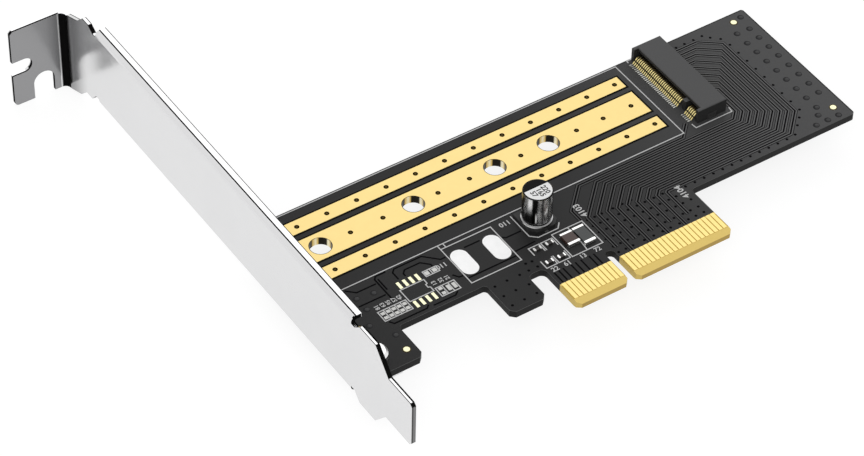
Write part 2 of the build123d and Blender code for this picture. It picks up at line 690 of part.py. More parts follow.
def flange_section():
    """The channel in X and Z between the reliefs: the plate with a flange on each long side."""
    outer_x = BRACKET_X + FLANGE_DEPTH
    low, high = PLATE_LOW_Z, PLATE_HIGH_Z
    section = rectangle(BRACKET_X, outer_x, low, high)
    section -= rectangle(PLATE_INNER_X, outer_x, low + SHEET, high - SHEET)
    for z in (low, high):
        section = fillet(corner(section, BRACKET_X, z), FLANGE_RADIUS + SHEET)
    for z in (low + SHEET, high - SHEET):
        section = fillet(corner(section, PLATE_INNER_X, z), FLANGE_RADIUS)
    return section


def tab_section():
    """The bend in X and Y: the top of the plate folded over to the screw tab."""
    section = rectangle(BRACKET_X, PLATE_INNER_X, BEND_Y - ROUNDING_SLACK, TAB_OUTER_Y)
    section += rectangle(TAB_END_X, PLATE_INNER_X, TAB_UNDER_Y, TAB_OUTER_Y)
    section = fillet(corner(section, PLATE_INNER_X, TAB_OUTER_Y), BEND_RADIUS + SHEET)
    section = fillet(corner(section, BRACKET_X, TAB_UNDER_Y), BEND_RADIUS)
    return section


def slot_cutter(centre_x, round_z, end_x, end_z, width):
    """A slot through the tab that opens at one side and has a round end."""
    centre = Pos(centre_x, round_z) * Circle(width / 2)
    half = width / 2
    if end_x is None:
        run = rectangle(centre_x - half, centre_x + half, end_z, round_z)
    else:
        run = rectangle(end_x, centre_x, round_z - half, round_z + half)
    return extrude(Plane.XZ.offset(-TAB_OUTER_Y) * (centre + run), amount=SHEET)


def make_lug(y):
    """A strip that leaves the lower flange, steps up to the board and takes a screw."""
    flange_z = PLATE_LOW_Z + SHEET / 2
    seat_z = BOARD_LOW_Z - SHEET / 2
    flange_x = BRACKET_X + FLANGE_DEPTH
    path = FilletPolyline(
        (flange_x, flange_z),
        (flange_x + LUG_FLAT, flange_z),
        (flange_x + LUG_FLAT + LUG_STEP_RUN, seat_z),
        (LUG_END_X, seat_z),
        radius=LUG_RADIUS + SHEET / 2,
    )
    section = trace(path, line_width=SHEET)
    lug = extrude(Plane.XZ.offset(-y) * section, amount=LUG_WIDTH / 2, both=True)
    return lug - pin(SCREW_X, y, -SCREW_LENGTH, BOARD_LOW_Z, SCREW_SHANK)


def make_bracket():
    """One folded sheet: plate, tongue, flanges, screw tab and the two lugs."""
    bracket = extrude(Plane.YZ.offset(BRACKET_X) * flat_outline(), amount=SHEET)
    flanges = Plane.XZ.offset(-FLANGE_END_Y) * flange_section()
    bracket += extrude(flanges, amount=FLANGE_END_Y - FLANGE_START_Y)
    tab = Pos(0, 0, TAB_LOW_Z) * extrude(tab_section(), amount=TAB_HIGH_Z - TAB_LOW_Z)
    free_edges = tab.edges().filter_by(Axis.Y).group_by(Axis.X)[0].sort_by(Axis.Z)
    tab = chamfer(free_edges[-1], TAB_CHAMFER)
    free_edges = tab.edges().filter_by(Axis.Y).group_by(Axis.X)[0].sort_by(Axis.Z)
    tab = fillet(free_edges[0], TAB_ROUND)
    tab -= slot_cutter(SCREW_SLOT_X, SCREW_SLOT_ROUND_Z, None, TAB_LOW_Z, SCREW_SLOT_WIDTH)
    tab -= slot_cutter(END_SLOT_ROUND_X, END_SLOT_Z, TAB_END_X, None, END_SLOT_WIDTH)
    bracket += tab
    for y in SCREWS_Y:
        bracket += make_lug(y)
    return bracket


def make_screws():
    """Pan head screws with a cross recess, from the component side into the lugs."""
    screw = pin(0, 0, -SCREW_LENGTH, 0, SCREW_SHANK)
    head = pin(0, 0, 0, SCREW_HEAD_HEIGHT, SCREW_HEAD)
    head = chamfer(head.faces().sort_by(Axis.Z)[-1].edges(), SCREW_HEAD_SLOPE)
    recess_z = SCREW_HEAD_HEIGHT - RECESS_DEPTH
    for turn in (0, 90):
        arm = Pos(0, 0, (recess_z + SCREW_HEAD_HEIGHT) / 2) * Box(RECESS_SIZE, RECESS_ARM, RECESS_DEPTH)
        head -= Rot(0, 0, turn) * arm
    return [Pos(SCREW_X, y, 0) * (screw + head) for y in SCREWS_Y]


os.makedirs("parts", exist_ok=True)

save("circuit_board", make_board())
save("edge_contacts_component_side", *make_edge_contacts(0, CONTACT_THICKNESS))
save("edge_contacts_solder_side", *make_edge_contacts(BOARD_LOW_Z - CONTACT_THICKNESS, BOARD_LOW_Z))

side_vias = [STRIP_LEFT_X + STRIP_VIA_FIRST + i * STRIP_VIA_PITCH for i in range(STRIP_VIA_COUNT)]
save("heat_strip_upper", make_strip(DRIVE_AXIS_Y + STRIP_SPACING, STRIP_NARROW, side_vias))
save("heat_strip_centre", make_strip(DRIVE_AXIS_Y, STRIP_WIDE, CENTRE_VIAS_X, HOLES_X))
save("heat_strip_lower", make_strip(DRIVE_AXIS_Y - STRIP_SPACING, STRIP_NARROW, side_vias))
save("standoff_hole_plating", *make_barrels())

save("signal_traces", *make_traces())

save("socket_housing", make_socket())
save("socket_contacts_lower", *make_lower_contacts())
save("socket_contacts_upper", *make_upper_contacts())
save("socket_nails", *make_nails())

save("capacitor_base", make_capacitor_base())
save("capacitor_can", make_capacitor_can())
save("capacitor_leads", *capacitor_leads())

fuse_body, fuse_ends = chip_part(FUSE_CENTRE, FUSE_SIZE, FUSE_TERMINAL, turn=90)
save("fuse_body", fuse_body)
save("fuse_terminals", *fuse_ends)
bulk_body, bulk_ends = chip_part(BULK_CENTRE, BULK_SIZE, BULK_TERMINAL, turn=90)
save("bulk_chip_body", bulk_body)
save("bulk_chip_terminals", *bulk_ends)
for number, centre in enumerate(SMALL_CENTRES, start=1):
    small_body, small_ends = chip_part(centre, SMALL_SIZE, SMALL_TERMINAL)
    save(f"small_chip_body_{number}", small_body)
    save(f"small_chip_terminals_{number}", *small_ends)

save("controller_pads", *make_controller_pads())
save("inductor_pads", *make_inductor_pads())
save("spare_chip_pads", *make_spare_pads())
save("fiducial_discs", *make_fiducials())

save("bracket", make_bracket())
save("bracket_screws", *make_screws())
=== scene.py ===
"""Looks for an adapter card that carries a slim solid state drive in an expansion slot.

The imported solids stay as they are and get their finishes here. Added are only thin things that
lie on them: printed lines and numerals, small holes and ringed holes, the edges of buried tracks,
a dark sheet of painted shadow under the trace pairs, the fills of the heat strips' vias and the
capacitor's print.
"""

import json
import math

import bpy
import numpy as np
from mathutils import Matrix, Vector


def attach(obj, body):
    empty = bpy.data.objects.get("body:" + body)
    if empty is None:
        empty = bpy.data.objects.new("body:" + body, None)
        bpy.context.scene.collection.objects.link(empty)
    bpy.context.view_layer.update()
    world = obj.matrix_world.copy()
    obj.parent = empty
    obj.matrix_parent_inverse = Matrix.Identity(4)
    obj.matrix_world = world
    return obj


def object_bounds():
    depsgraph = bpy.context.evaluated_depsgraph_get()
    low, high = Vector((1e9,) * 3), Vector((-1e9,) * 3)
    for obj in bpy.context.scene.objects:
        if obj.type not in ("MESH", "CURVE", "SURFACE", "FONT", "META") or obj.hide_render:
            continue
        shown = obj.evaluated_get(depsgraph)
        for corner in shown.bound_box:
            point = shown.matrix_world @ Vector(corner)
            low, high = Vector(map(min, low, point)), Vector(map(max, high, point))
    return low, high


MM = 0.001

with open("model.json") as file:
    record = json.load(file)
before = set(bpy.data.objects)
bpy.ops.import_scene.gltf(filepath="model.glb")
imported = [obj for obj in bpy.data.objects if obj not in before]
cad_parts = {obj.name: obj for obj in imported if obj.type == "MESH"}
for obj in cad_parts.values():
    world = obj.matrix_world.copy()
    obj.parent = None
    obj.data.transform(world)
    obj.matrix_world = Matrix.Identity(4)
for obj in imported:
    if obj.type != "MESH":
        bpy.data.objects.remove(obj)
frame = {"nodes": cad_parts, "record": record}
cad_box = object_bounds()

# Board and edge connector, in millimetres
BOARD_RIGHT_X = 60.4
BOARD_TOP_Y = 48.05
BOARD_TONE_X = (-5.0, 62.0)
TRACE_TONE_X = (4.0, 52.0)
RIM_WIDTH = 0.26
# Height of the painted highlight along the top of the board's sides
EDGE_HIGHLIGHT_DEPTH = 0.14
GOLD_TOP_Y = 5.86
TONGUE_X = (-12.15, 22.15)
TONGUE_SLACK = 0.2
BEVEL_Y = 1.55
FIRST_CONTACT_X = 1.5
CONTACT_PITCH = 1.0
FIDUCIALS = ((56.7, 45.8), (57.9, 16.4), (-43.85, 7.4))

# Heat strips
MIDDLE_STRIP_Y = 37.2
MIDDLE_STRIP_WIDTH = 6.3
SIDE_STRIPS_Y = (43.65, 30.75)
SIDE_STRIP_WIDTH = 3.15
STRIP_END_X = 28.5
# Width of the band of painted shade round each strip
STRIP_EDGE_SHADE = 0.42
SIDE_VIA_FIRST_X = -43.8
SIDE_VIA_PITCH = 6.43
SIDE_VIA_COUNT = 12
MIDDLE_VIAS_X = (-36.4, -29.4, -17.4, -10.45, 1.0, 13.6, 19.7, 26.1)

# Drive socket
SOCKET_REAR_X = 41.6
SPRING_TAIL_X = 33.2
SPRING_KNEE_SHADE_X = (33.62, 33.80)
SPRING_MOUTH_SHADE_X = (34.25, 34.75)

# Capacitor
CAN_PLACE = (-6.4, 21.5)
CAN_TOP_Z = 7.9
CAN_CURL_Z = 1.15
LID_PRINT_RADIUS = 2.63
LID_PRINT_THICKNESS = 0.015
POLARITY_CHORD = 0.25
POLARITY_LOW = 0.012
LID_NUMBER_LOW = 0.013

# Painted reflections in bands round the can and the holes run across this direction, which is half
# a unit long
REFLECTION_BAND_DIRECTION = (0.412, -0.283)

# Bracket
PLATE_X = -55.5
SHEET_THICKNESS = 0.86
INNER_FACE_X = PLATE_X + SHEET_THICKNESS
TAB_UNDER_Y = 107.41
FOLD_REACH = 1.25
FOLD_X = PLATE_X - FOLD_REACH
FOLD_Y = TAB_UNDER_Y - FOLD_REACH
FLANGE_DEPTH = 2.3
FLANGE_RIM_X = PLATE_X + FLANGE_DEPTH
FLANGE_Y = (7.3, 95.0)
FLANGE_ROOT_X = PLATE_X + 0.6
RELIEF_Y = (FLANGE_Y[0] - 1.6, FLANGE_Y[0] + 0.25)
RELIEF_DEPTH_X = FLANGE_RIM_X - 0.2
TONGUE_END_Y = -11.75
TONGUE_SHADE_X = (PLATE_X + 0.15, PLATE_X + 0.65)
PLATE_FOLD_SHADE_Y = (TAB_UNDER_Y - 9.0, TAB_UNDER_Y - 1.0)
FOLD_HIGHLIGHT_X = (FOLD_X - 0.12, FOLD_X + 0.08)
CUT_LINE = 0.14
INNER_LINE = 0.16
BEND_LINE = 0.28
TAB_LINE = 0.34
TAB_SIDE_LINE = 0.32
TAB_LINE_END_X = FOLD_X + 0.3

# Ink and lacquer on the board
INK_WIDTH = 0.22
INK_LOW_Z = 0.052
INK_THICKNESS = 0.012
INK_HIGH_Z = INK_LOW_Z + INK_THICKNESS
INK_STEP = 0.0004
INK_SPREAD = 0.02
TRACK_WIDTH = 0.3
TRACK_TOP_Z = 0.02
# Width and thickness of the painted shadow under each trace pair
PAIR_SHADOW_WIDTH = 1.04
PAIR_SHADOW_THICKNESS = 0.012
PAIR_COUNT = 9

# Profiles of small turned shapes, as radius and height
SMALL_HOLE = ((0, 0), (0.27, 0), (0.27, 0.02), (0.20, 0.03), (0, 0.03))
HOLE_RING = ((0, 0), (0.66, 0), (0.62, 0.03), (0, 0.03))
HOLE_CAP = ((0, 0), (0.46, 0), (0.40, 0.06), (0, 0.075))
# Offset of the caps, which leaves a crescent of painted shade on one side of each ring
HOLE_CAP_SHADE_SHIFT = (0.10, -0.08)
FIDUCIAL_RING = ((0, 0), (0.80, 0), (0.80, 0.012), (0, 0.012))
VIA_FILL = ((0, 0), (0.52, 0), (0.50, 0.078), (0.36, 0.082), (0.24, 0.05), (0, 0.05))
VIA_BEAD = ((0, 0), (0.25, 0), (0.21, 0.07), (0, 0.075))

# Camera, fitted to the card's own sizes
AZIMUTH = -34.488
ELEVATION = 44.479
ROLL = 1.219
DISTANCE = 657.283
AIM_RIGHT = 32.930
AIM_UP = -5.508
AIM_Y = 5.86
FOCAL_PIXELS = 3659.266
PHOTO_WIDTH = 864
SENSOR_WIDTH = 36.0
NEAREST_SEEN = 0.01

# Studio: levels of white, and the floor in metres
WORLD_LEVEL = 0.5
FLOOR_WHITE = 0.86
FLOOR_HALF = 2.5
FLOOR_DROP = 0.05 * MM

# Shared: slack is how far a mask or a print reaches past the edge that it ends on
SLACK = 0.01
WHITE = (1.0, 1.0, 1.0)
BUMP_DEPTH = 0.1 * MM


class Maths:
    """A shader socket with operators, so that maths on it reads as an expression."""

    def __init__(self, sheet, socket):
        self.sheet = sheet
        self.socket = socket

    def _with(self, operation, other, swap=False):
        pair = (other, self) if swap else (self, other)
        return self.sheet.maths(operation, *pair)

    def __add__(self, other):
        return self._with("ADD", other)

    def __radd__(self, other):
        return self._with("ADD", other, True)

    def __sub__(self, other):
        return self._with("SUBTRACT", other)

    def __rsub__(self, other):
        return self._with("SUBTRACT", other, True)

    def __mul__(self, other):
        return self._with("MULTIPLY", other)

    def __rmul__(self, other):
        return self._with("MULTIPLY", other, True)

    def above(self, edge):
        """1 over the edge and 0 under it."""
        return self._with("GREATER_THAN", edge)

    def below(self, edge):
        """1 under the edge and 0 over it."""
        return self._with("LESS_THAN", edge)

    def step(self, low, high):
        """0 under low, 1 over high and a smooth rise between them."""
        kept = {"interpolation_type": "SMOOTHSTEP"}
        return self.sheet.node("ShaderNodeMapRange", kept, {0: self, 1: low, 2: high})


class Sheet:
    """A node tree, with the one way in which nodes are added to it."""

    def __init__(self, tree):
        self.tree = tree

    def node(self, kind, settings=None, inputs=None, output=0):
        """Add a node: its settings first, then its values or links. Returns one output."""
        made = self.tree.nodes.new(kind)
        for key, value in (settings or {}).items():
            if key == "stops":
                ramp = made.color_ramp
                while len(ramp.elements) < len(value):
                    ramp.elements.new(0.5)
                for element, (place, colour) in zip(ramp.elements, value):
                    element.position = place
                    element.color = (*colour, 1.0)
            else:
                setattr(made, key, value)
        for key, value in (inputs or {}).items():
            self.join(made.inputs[key], value)
        return Maths(self, made.outputs[output])

    def join(self, target, value):
        """Link a socket to a result, or set its own value."""
        if isinstance(value, Maths):
            self.tree.links.new(value.socket, target)
        elif isinstance(value, tuple) and len(value) == 3 and target.type == "RGBA":
            target.default_value = (*value, 1.0)
        else:
            target.default_value = value

    def maths(self, operation, first, second):
        return self.node("ShaderNodeMath", {"operation": operation}, {0: first, 1: second})


class Finish(Sheet):
    """One material and the nodes that make it."""

    def __init__(self, name):
        self.material = bpy.data.materials.new(name)
        self.material.use_nodes = True
        super().__init__(self.material.node_tree)
        self.shader = self.tree.nodes["Principled BSDF"]

    def place(self):
        """Object coordinates in millimetres, as a vector and as X, Y and Z."""
        raw = self.node("ShaderNodeTexCoord", output="Object")
        vector = self.node(
            "ShaderNodeVectorMath", {"operation": "SCALE"}, {0: raw, "Scale": 1 / MM}
        )
        axes = [self.node("ShaderNodeSeparateXYZ", None, {0: vector}, axis) for axis in range(3)]
        return vector, axes

    def facing(self):
        """X, Y and Z of the outward direction of the surface."""
        normal = self.node("ShaderNodeNewGeometry", output="Normal")
        return [self.node("ShaderNodeSeparateXYZ", None, {0: normal}, axis) for axis in range(3)]

    def noise(self, vector, scale, detail=2.0, roughness=0.5):
        """Noise between 0 and 1, with its scale in waves per millimetre."""
        values = {"Vector": vector, "Scale": scale, "Detail": detail, "Roughness": roughness}
        return self.node("ShaderNodeTexNoise", None, values)

    def stretched(self, vector, scale):
        """The place scaled along each axis, so that a pattern stretches where it is small."""
        return self.node("ShaderNodeMapping", None, {"Vector": vector, "Scale": scale})

    def blend(self, share, first, second):
        """Colour between first, at 0, and second, at 1."""
        kept = {"data_type": "RGBA"}
        return self.node("ShaderNodeMix", kept, {0: share, 6: first, 7: second}, 2)

    def bump(self, height, strength):
        """A surface direction that follows small hills of 0 to 1 in height."""
        values = {"Height": height, "Strength": strength, "Distance": BUMP_DEPTH}
        return self.node("ShaderNodeBump", None, values)

    def set(self, **values):
        """Link or set the shader's own sockets by name."""
        for key, value in values.items():
            self.join(self.shader.inputs[key.replace("_", " ")], value)


def grey(level):
    """A neutral colour."""
    return (level, level, level)


def between(axis, low, high):
    """1 over low and under high, and 0 elsewhere."""
    return axis.above(low) * axis.below(high)


def swell(axis, rise, fall):
    """A smooth rise from 0 to 1 over one range, and a smooth fall over the next."""
    return axis.step(*rise) * (1.0 - axis.step(*fall))


def reflection_band_turn(across, along):
    """-0.5 to 0.5 as an upright surface turns from one end of the painted reflection bands to the
    other.
    """
    return across * REFLECTION_BAND_DIRECTION[0] + along * REFLECTION_BAND_DIRECTION[1]


def strip_ground_and_edge_shade(x, y, upward):
    """1 on the board's face under the heat strips and on a band of painted shade round each of
    them.
    """
    strips = [(MIDDLE_STRIP_Y, MIDDLE_STRIP_WIDTH)]
    strips += [(side_y, SIDE_STRIP_WIDTH) for side_y in SIDE_STRIPS_Y]
    ground_and_edge_shade = 0.0
    for middle_y, width in strips:
        reach = width / 2 + STRIP_EDGE_SHADE
        ground_and_edge_shade = ground_and_edge_shade + between(y, middle_y - reach, middle_y + reach)
    return ground_and_edge_shade * x.below(STRIP_END_X + STRIP_EDGE_SHADE) * upward.above(0.5)


def board_finish():
    """Black lacquer over the laminate, gold on the edge connector's end. Painted shade darkens the
    sides, the band round each heat strip and the gold on the card's end, and a painted highlight
    runs along the top of the sides.
    """
    f = Finish("board_lacquer")
    place, (x, y, z) = f.place()
    _, _, upward = f.facing()
    cloth = f.noise(f.stretched(place, (1.0, 1.0, 4.0)), 1.6, 3.0)
    grain = f.noise(place, 9.0, 2.0)
    colour = f.blend(x.step(*BOARD_TONE_X), grey(0.018), (0.084, 0.084, 0.085))
    colour = f.blend(cloth * 0.2, colour, (0.020, 0.020, 0.022))
    # Painted shade on the side faces, and a painted highlight in a thin line along their top edge.
    side = between(upward, -0.5, 0.5)
    colour = f.blend(side, colour, grey(0.004))
    colour = f.blend(side * z.above(-EDGE_HIGHLIGHT_DEPTH), colour, grey(0.09))

    rim = x.above(BOARD_RIGHT_X - RIM_WIDTH) + y.above(BOARD_TOP_Y - RIM_WIDTH)
    colour = f.blend(rim * upward.above(0.5), colour, grey(0.003))
    # Painted shade: a near black band round each heat strip, beside its edges.
    ground_and_edge_shade = strip_ground_and_edge_shade(x, y, upward)
    colour = f.blend(ground_and_edge_shade, colour, (0.003, 0.003, 0.002))

    on_tongue = between(x, TONGUE_X[0] - TONGUE_SLACK, TONGUE_X[1] + TONGUE_SLACK)
    on_tongue = on_tongue * y.below(GOLD_TOP_Y)
    gap = between(y, BEVEL_Y, GOLD_TOP_Y - 0.5) * z.above(-SLACK)
    # Painted shade: the gold is darker at y = 0 and under it, on the card's end face.
    gold = f.blend(y.step(-0.02, 0.05), (0.39, 0.265, 0.075), (0.62, 0.47, 0.15))
    gold = f.blend(gap, gold, (0.40, 0.28, 0.05))
    f.set(
        Base_Color=f.blend(on_tongue, colour, gold),
        Metallic=on_tongue * 0.9 + ground_and_edge_shade,
        Roughness=0.46 + grain * 0.12,
        Normal=f.bump(cloth * 0.5 + grain * 0.35, 0.10),
        Specular_IOR_Level=0.16,
    )
    return f.material


def gold_finish(name, colour, pale, roughness, metallic=1.0):
    """Plated metal in a pale tone with fine mottling."""
    f = Finish(name)
    place, _ = f.place()
    cloud = f.noise(place, 0.55, 3.0)
    grain = f.noise(place, 14.0, 2.0)
    f.set(
        Base_Color=f.blend(cloud * 0.6 + grain * 0.4, colour, pale),
        Metallic=metallic,
        Roughness=roughness + grain * 0.1,
        Normal=f.bump(grain, 0.05),
    )
    return f.material


def plastic_finish(name, colour, roughness, grain_size=7.0, strength=0.12, specular=0.5):
    """Moulded plastic, ceramic or lacquer with a fine grain."""
    f = Finish(name)
    place, _ = f.place()
    grain = f.noise(place, grain_size, 3.0, 0.6)
    tone = tuple(min(1.0, c * 1.35 + 0.004) for c in colour)
    f.set(
        Base_Color=f.blend(grain, colour, tone),
        Roughness=roughness + grain * 0.15,
        Normal=f.bump(grain, strength),
        Specular_IOR_Level=specular,
    )
    return f.material


def metal_finish(name, colour, roughness):
    """Plated metal with faint mottling."""
    f = Finish(name)
    place, _ = f.place()
    grain = f.noise(place, 4.0, 3.0)
    cloud = f.noise(place, 0.12, 2.0)
    darker = tuple(c * 0.93 for c in colour)
    f.set(
        Base_Color=f.blend(grain * 0.4 + cloud * 0.4, darker, colour),
        Metallic=1.0,
        Roughness=roughness + grain * 0.08,
        Normal=f.bump(grain, 0.03),
    )
    return f.material


def bracket_fold_shade(x, y, upward):
    """1 on the round of the fold between plate and tab, apart from its cut ends, where shade is
    painted.
    """
    fold = between(x, FOLD_X, PLATE_X + SLACK) * between(y, FOLD_Y, TAB_UNDER_Y - 2 * SLACK)
    return fold * between(upward, -0.5, 0.5)


def bracket_edge_shade_lines(x, y, across, along):
    """1 in thin lines of painted shade along the cut edges of the plate and the flanges, and on
    sloped cuts.
    """
    on_flange = between(y, *FLANGE_Y) * x.above(FLANGE_ROOT_X)
    outer = x.below(PLATE_X + CUT_LINE)
    inner_line = INNER_LINE + y.below(FLANGE_Y[0]) * INNER_LINE
    inner = (x + inner_line).above(INNER_FACE_X) * x.below(INNER_FACE_X + SLACK)
    inner = inner * (1.0 - on_flange)
    bend = on_flange * between(x, INNER_FACE_X, INNER_FACE_X + BEND_LINE)
    flange_rim = between(x, FLANGE_RIM_X - CUT_LINE, FLANGE_RIM_X + SLACK)
    sloped = between(along, -0.95, -0.3)
    on_cut = between(across, -0.5, 0.5) * y.below(FOLD_Y)
    return (outer + inner + bend + flange_rim + sloped) * on_cut


def tab_edge_shade_lines(x, y, across, along):
    """1 in a line of painted shade along the under side of the tab's cut edges, wider on those
    that face left.
    """
    into_tab = y - TAB_UNDER_Y
    line = TAB_LINE + between(across, -1.1, -0.6) * TAB_SIDE_LINE
    on_cut = between(along, -0.5, 0.5) * x.below(TAB_LINE_END_X)
    return into_tab.above(0.002) * into_tab.below(line) * on_cut


def bracket_relief_shade(x, y, across, upward):
    """1 on the walls of the relief cut beside the lower end of the flange, where shade is painted.
    """
    in_cut = between(y, *RELIEF_Y) * x.below(RELIEF_DEPTH_X)
    return in_cut * across.above(-0.7) * between(upward, -0.95, 0.95)


def bracket_finish():
    """Bright nickel with painted shade: darker under the folded tab, on the plate near the fold
    and on the tongue's end face, dark in the fold and along the cut edges, with a painted
    highlight beside the fold.
    """
    f = Finish("bracket_nickel")
    place, (x, y, _) = f.place()
    across, along, upward = f.facing()
    lines = f.noise(f.stretched(place, (1.0, 0.04, 1.0)), 3.0, 3.0)
    cloud = f.noise(place, 0.10, 2.0)
    colour = f.blend(lines * 0.3 + cloud * 0.4, (0.69, 0.69, 0.695), (0.78, 0.78, 0.785))
    # Painted shade: the plate's outer face darkens towards the fold.
    plate_fold_shade = y.step(*PLATE_FOLD_SHADE_Y) * y.below(FOLD_Y) * across.below(-0.7)
    colour = f.blend(plate_fold_shade * 0.72, colour, (0.05, 0.05, 0.052))

    # Painted shade: the tab's under side is painted a darker grey; a thin painted highlight runs
    # along it beside the fold.
    under_tab = along.below(-0.5) * y.above(TAB_UNDER_Y - 0.2) * x.below(PLATE_X + 0.2)
    colour = f.blend(under_tab, colour, (0.295, 0.295, 0.30))
    fold_highlight = under_tab * between(x, *FOLD_HIGHLIGHT_X)
    colour = f.blend(fold_highlight, colour, (0.75, 0.75, 0.755))

    # Painted shade: the fold, thin lines along the cut edges and the relief's walls are near black
    # and not metal.
    dark = bracket_fold_shade(x, y, upward) + bracket_edge_shade_lines(x, y, across, along)
    dark = dark + tab_edge_shade_lines(x, y, across, along) + bracket_relief_shade(x, y, across, upward)
    colour = f.blend(dark, colour, grey(0.006))
    # Painted shade: the tongue's end face is dark grey by the plate's outer face and a lighter
    # grey further in.
    tongue_cut = along.below(-0.95) * y.below(TONGUE_END_Y + 0.1)
    tongue_end_shade = f.blend(x.step(*TONGUE_SHADE_X), grey(0.07), grey(0.28))
    f.set(
        Base_Color=f.blend(tongue_cut, colour, tongue_end_shade),
        Metallic=dark.below(0.5),
        Roughness=0.16 + lines * 0.08,
        Normal=f.bump(lines, 0.02),
        Specular_IOR_Level=0.0,
    )
    return f.material


def can_finish():
    """Drawn aluminium with painted reflections: upright bands of painted light and dark on the
    wall, painted shade low on one side, at the top of the wall and round the curl, and painted
    highlights on the curl at the foot and in a glint.

    Heights on the wall are measured from the curl, in millimetres.
    """
    f = Finish("can_aluminium")
    place, (_, _, z) = f.place()
    across, along, _ = f.facing()
    lines = f.noise(f.stretched(place, (1.0, 1.0, 0.05)), 3.0, 2.0)
    wander = f.noise(f.stretched(place, (1.0, 1.0, 0.35)), 0.8, 2.0)
    turn = 0.5 + reflection_band_turn(across, along) + (wander - 0.5) * 0.05
    dull, deep = (0.75, 0.75, 0.76), grey(0.012)
    # Painted reflections: bands of light and dark round the wall.
    stops = [
        (0.05, deep), (0.08, dull), (0.11, WHITE), (0.30, WHITE), (0.35, deep), (0.49, deep),
        (0.53, dull), (0.61, WHITE), (0.67, deep), (0.72, dull), (0.80, WHITE), (0.86, deep),
        (0.91, WHITE), (0.95, WHITE), (0.98, deep),
    ]
    bands = f.node("ShaderNodeValToRGB", {"stops": stops}, {0: turn})
    bands = f.blend(lines * 0.2, bands, grey(0.25))
    height = z - CAN_CURL_Z
    # Painted shade: darker low on the wall on one side, at the top of the wall and round the curl.
    low = (1.0 - height.step(2.2, 3.6)) * turn.below(0.43)
    colour = f.blend(low * 0.9, bands, deep)
    shade = z.above(CAN_TOP_Z - 0.16) + height.below(0.42)
    colour = f.blend(shade, colour, grey(0.015))
    # Painted highlights: a glint on the wall, and a bright curl at the foot that is less metal.
    glint = swell(turn, (0.415, 0.45), (0.465, 0.51)) * swell(height, (0.6, 1.4), (2.4, 3.8))
    curl = between(height, -0.28, 0.02) * swell(turn, (0.0, 0.12), (0.32, 0.85))
    f.set(
        Base_Color=f.blend(curl + glint, colour, WHITE),
        Metallic=1.0 - curl - glint,
        Roughness=0.20 + lines * 0.06,
        Normal=f.bump(lines, 0.02),
    )
    return f.material


def hole_wall_finish():
    """Plated wall of a round hole, with painted reflections in dark, gold and pale bands round its
    turn.
    """
    f = Finish("hole_wall_gold")
    across, along, _ = f.facing()
    turn = 0.5 - reflection_band_turn(across, along)
    dark, gold, pale = (0.010, 0.008, 0.004), (0.72, 0.50, 0.14), (0.95, 0.86, 0.58)
    stops = [
        (0.10, dark), (0.15, gold), (0.27, pale), (0.36, gold), (0.41, dark), (0.74, dark),
        (0.79, pale), (0.85, pale), (0.90, gold), (0.96, dark),
    ]
    f.set(
        Base_Color=f.node("ShaderNodeValToRGB", {"stops": stops}, {0: turn}),
        Metallic=0.9,
        Roughness=0.35,
    )
    return f.material


def spring_finish():
    """Socket leaves: tinned tails and gold slopes, with painted shade in a dark bronze tone deep
    in the mouth and in a line at the knee.
    """
    f = Finish("spring_gold")
    place, (x, _, _) = f.place()
    grain = f.noise(place, 9.0, 2.0)
    colour = f.blend(grain, (0.80, 0.64, 0.22), (0.92, 0.80, 0.40))
    # Painted shade deep in the mouth, and in a line at the knee.
    colour = f.blend(x.step(*SPRING_MOUTH_SHADE_X), colour, (0.09, 0.06, 0.018))
    colour = f.blend(between(x, *SPRING_KNEE_SHADE_X), colour, (0.05, 0.04, 0.015))
    colour = f.blend(x.below(SPRING_TAIL_X), colour, (0.62, 0.62, 0.58))
    f.set(Base_Color=colour, Metallic=0.9, Roughness=0.32)
    return f.material


def socket_finish():
    """Moulded nylon; the faces that do not face up are painted darker, as painted shade."""
    f = Finish("socket_nylon")
    place, _ = f.place()
    _, _, upward = f.facing()
    grain = f.noise(place, 7.0, 3.0, 0.6)
    lid = f.blend(grain, (0.064, 0.064, 0.065), (0.088, 0.088, 0.089))
    # Painted shade: every face but the top takes the darker grey.
    f.set(
        Base_Color=f.blend(upward.above(0.5), grey(0.018), lid),
        Roughness=0.55 + grain * 0.15,
        Normal=f.bump(grain, 0.12),
        Specular_IOR_Level=0.3,
    )
    return f.material


def trace_finish():
    """Lacquer over the raised traces: lighter than the board, partly the lacquer's own tone and
    partly a painted highlight on their tops, and paler towards the far end of the card.
    """
    f = Finish("trace_lacquer")
    place, (x, _, _) = f.place()
    grain = f.noise(place, 7.0, 3.0, 0.6)
    colour = f.blend(x.step(*TRACE_TONE_X), grey(0.052), (0.118, 0.118, 0.119))
    f.set(
        Base_Color=f.blend(grain * 0.3, colour, grey(0.03)),
        Roughness=0.5 + grain * 0.15,
        Normal=f.bump(grain, 0.12),
        Specular_IOR_Level=0.3,
    )
    return f.material


def fiducial_finish():
    """A small round land, mottled in two pale tones."""
    f = Finish("fiducial_land")
    place, _ = f.place()
    grain = f.noise(place, 3.0, 2.0)
    f.set(
        Base_Color=f.blend(grain, (0.84, 0.84, 0.56), (0.82, 0.78, 0.52)),
        Metallic=0.9,
        Roughness=0.45,
    )
    return f.material


